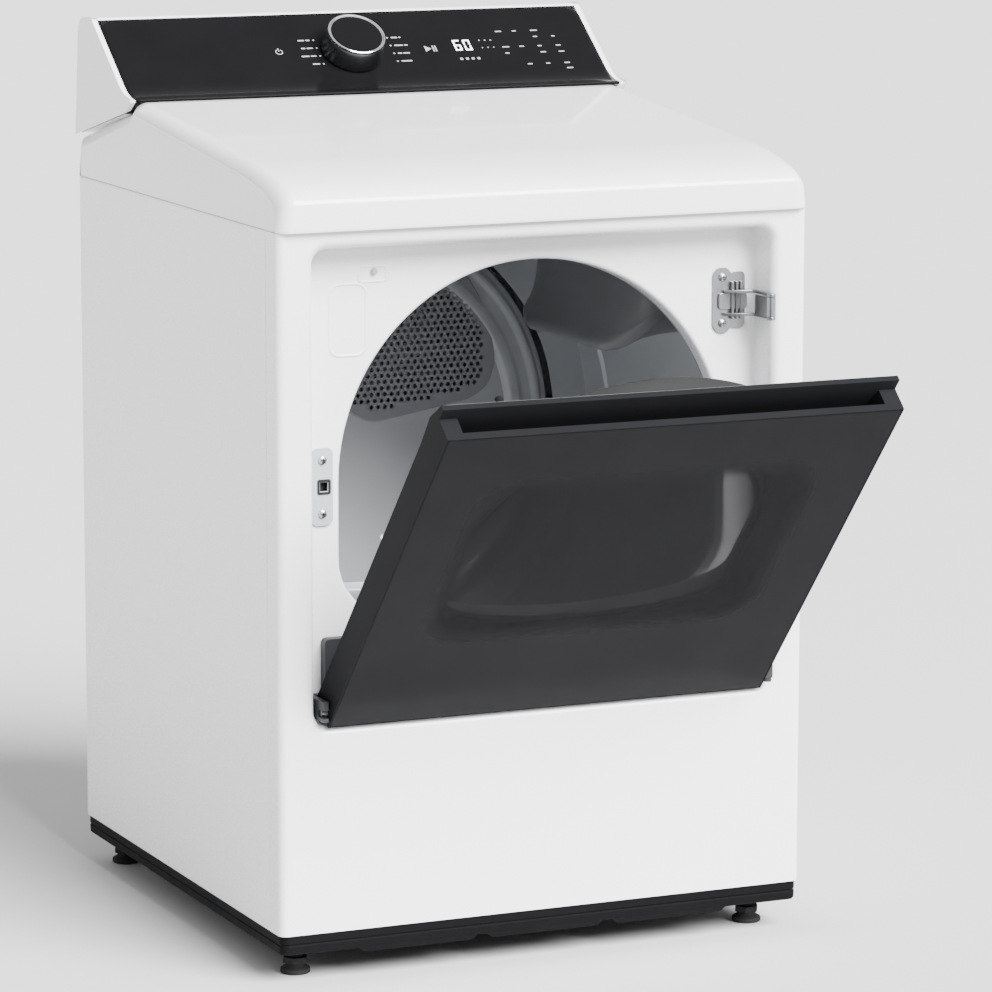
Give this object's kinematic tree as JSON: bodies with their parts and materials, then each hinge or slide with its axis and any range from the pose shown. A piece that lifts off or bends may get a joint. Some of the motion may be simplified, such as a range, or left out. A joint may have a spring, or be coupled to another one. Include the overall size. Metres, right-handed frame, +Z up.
{
  "type": "clothes dryer",
  "caption": "Front-loading tumble dryer with a sloped top and rear console; its dark glass door tilts open from the top or swings to the side.",
  "frame": {"origin": "middle of the bottom face of the bounding box with the door tilted open, on the floor", "axes": "+X to the right seen from the front, +Y from the front to the rear, +Z up"},
  "size_m": [0.686, 1.062, 1.096],
  "materials": {
    "white": "gloss white enamel",
    "shell": "gloss white",
    "base": "satin black",
    "charcoal": "satin charcoal",
    "console_glass": "gloss black, printed behind",
    "door_glass": "smoked",
    "steel": "satin",
    "chrome": "polished",
    "drum": "satin silver grey",
    "galvanised": "galvanised",
    "aluminium": "cast",
    "plastic": "moulded dark grey",
    "rubber": "matt",
    "board": "lacquered"
  },
  "bodies": {
    "cabinet": {"base_tray": "base", "front_panel": "white", "side_panel_left": "white", "side_panel_right": "white", "rear_panel": "galvanised", "terminal_block": "galvanised", "top_cover": "white", "console_housing": "shell", "console_end_cap_left": "shell", "console_end_cap_right": "shell", "console_glass": "console_glass", "knob_encoder": "plastic", "control_board": "board", "display_module": "plastic", "upper_hinge_bracket": "steel", "lower_hinge_bracket": "base", "lower_pivot_socket": "base", "latch_plate": "steel", "door_switch_housing": "plastic", "front_bulkhead": "galvanised", "rear_bulkhead": "drum", "air_inlet_grille": "plastic", "drive_motor": "aluminium", "drive_belt": "rubber", "blower_housing": "plastic", "lint_duct": "plastic", "exhaust_duct": "galvanised", "heater_housing": "galvanised", "heater_coil": "steel", "moisture_sensor": "steel"},
    "knob": {"knob_rim": "chrome", "knob_cap": "console_glass"},
    "latch_catch": {"latch_catch": "plastic"},
    "door_switch_plunger": {"door_switch_plunger": "plastic"},
    "swing_carrier": {"upper_hinge_leaf": "steel", "lower_hinge_block": "base"},
    "door": {"door_frame": "charcoal", "door_glass": "door_glass", "door_liner": "plastic", "door_window": "door_glass", "door_seal": "rubber", "door_strike": "chrome", "door_pin_left": "steel"},
    "drum": {"drum": "drum", "baffle_1": "plastic", "baffle_2": "plastic", "baffle_3": "plastic"},
    "rotor": {"motor_pulley": "steel", "blower_wheel": "plastic"},
    "idler_arm": {"idler_arm": "galvanised"},
    "idler_pulley": {"idler_pulley": "plastic"},
    "lint_filter": {"lint_filter": "plastic"},
    "foot_front_left": {"foot_front_left": "rubber"},
    "foot_front_right": {"foot_front_right": "rubber"},
    "foot_rear_left": {"foot_rear_left": "rubber"},
    "foot_rear_right": {"foot_rear_right": "rubber"},
    "roller_front_left": {"roller_front_left": "rubber"},
    "roller_rear_left": {"roller_rear_left": "rubber"},
    "roller_front_right": {"roller_front_right": "rubber"},
    "roller_rear_right": {"roller_rear_right": "rubber"}
  },
  "joints": [
    {"name": "foot_front_left_turn", "type": "hinge", "parent": "cabinet", "child": "foot_front_left", "pos_m": [-0.301, -0.11402, 0], "axis": [0, 0, 1], "continuous": true},
    {"name": "foot_front_right_turn", "type": "hinge", "parent": "cabinet", "child": "foot_front_right", "pos_m": [0.301, -0.11402, 0], "axis": [0, 0, 1], "continuous": true},
    {"name": "foot_rear_left_turn", "type": "hinge", "parent": "cabinet", "child": "foot_rear_left", "pos_m": [-0.301, 0.47798, 0], "axis": [0, 0, 1], "continuous": true},
    {"name": "foot_rear_right_turn", "type": "hinge", "parent": "cabinet", "child": "foot_rear_right", "pos_m": [0.301, 0.47798, 0], "axis": [0, 0, 1], "continuous": true},
    {"name": "knob_turn", "type": "hinge", "parent": "cabinet", "child": "knob", "pos_m": [-0.011, 0.40609, 1.04752], "axis": [0, -0.6027, 0.798], "continuous": true},
    {"name": "latch_catch_press", "type": "slide", "parent": "cabinet", "child": "latch_catch", "axis": [0, 1, 0], "range_m": [0, 0.006], "stiffness_N_per_m": 600, "springref_m": -0.003},
    {"name": "door_switch_press", "type": "slide", "parent": "cabinet", "child": "door_switch_plunger", "axis": [0, 1, 0], "range_m": [0, 0.005], "stiffness_N_per_m": 300, "springref_m": -0.003},
    {"name": "door_swing", "type": "hinge", "parent": "cabinet", "child": "swing_carrier", "pos_m": [0.29, -0.18502, 0.3273], "axis": [0, 0, 1], "range_deg": [0, 90]},
    {"name": "door_tilt", "type": "hinge", "parent": "swing_carrier", "child": "door", "pos_m": [0, -0.17662, 0.3273], "axis": [1, 0, 0], "range_deg": [-41.8, 0]},
    {"name": "drum_spin", "type": "hinge", "parent": "cabinet", "child": "drum", "pos_m": [0.006, 0.17798, 0.562], "axis": [0, 1, 0], "continuous": true},
    {"name": "rotor_spin", "type": "hinge", "parent": "cabinet", "child": "rotor", "pos_m": [0.15, 0.08998, 0.155], "axis": [0, 1, 0], "continuous": true},
    {"name": "idler_arm_swing", "type": "hinge", "parent": "cabinet", "child": "idler_arm", "pos_m": [-0.04, 0.20398, 0.12], "axis": [0, -1, 0], "range_deg": [0, 8], "stiffness_Nm_per_rad": 4, "springref_deg": -6.88},
    {"name": "idler_pulley_spin", "type": "hinge", "parent": "idler_arm", "child": "idler_pulley", "pos_m": [0.02, 0.22798, 0.19], "axis": [0, 1, 0], "continuous": true},
    {"name": "roller_front_left_spin", "type": "hinge", "parent": "cabinet", "child": "roller_front_left", "pos_m": [-0.19871, 0.17798, 0.26965], "axis": [0, 1, 0], "continuous": true},
    {"name": "roller_rear_left_spin", "type": "hinge", "parent": "cabinet", "child": "roller_rear_left", "pos_m": [-0.19871, 0.17798, 0.26965], "axis": [0, 1, 0], "continuous": true},
    {"name": "roller_front_right_spin", "type": "hinge", "parent": "cabinet", "child": "roller_front_right", "pos_m": [0.21071, 0.17798, 0.26965], "axis": [0, 1, 0], "continuous": true},
    {"name": "roller_rear_right_spin", "type": "hinge", "parent": "cabinet", "child": "roller_rear_right", "pos_m": [0.21071, 0.17798, 0.26965], "axis": [0, 1, 0], "continuous": true},
    {"name": "lint_filter_lift", "type": "slide", "parent": "cabinet", "child": "lint_filter", "axis": [0, 0, 1], "range_m": [0, 0.115]}
  ],
  "couplings": [
    {"joint": "rotor_spin", "follows": "drum_spin", "ratio": 25.593},
    {"joint": "idler_pulley_spin", "follows": "drum_spin", "ratio": 13.689},
    {"joint": "roller_front_left_spin", "follows": "drum_spin", "ratio": -9.1857},
    {"joint": "roller_rear_left_spin", "follows": "drum_spin", "ratio": -9.1857},
    {"joint": "roller_front_right_spin", "follows": "drum_spin", "ratio": -9.1857},
    {"joint": "roller_rear_right_spin", "follows": "drum_spin", "ratio": -9.1857}
  ]
}
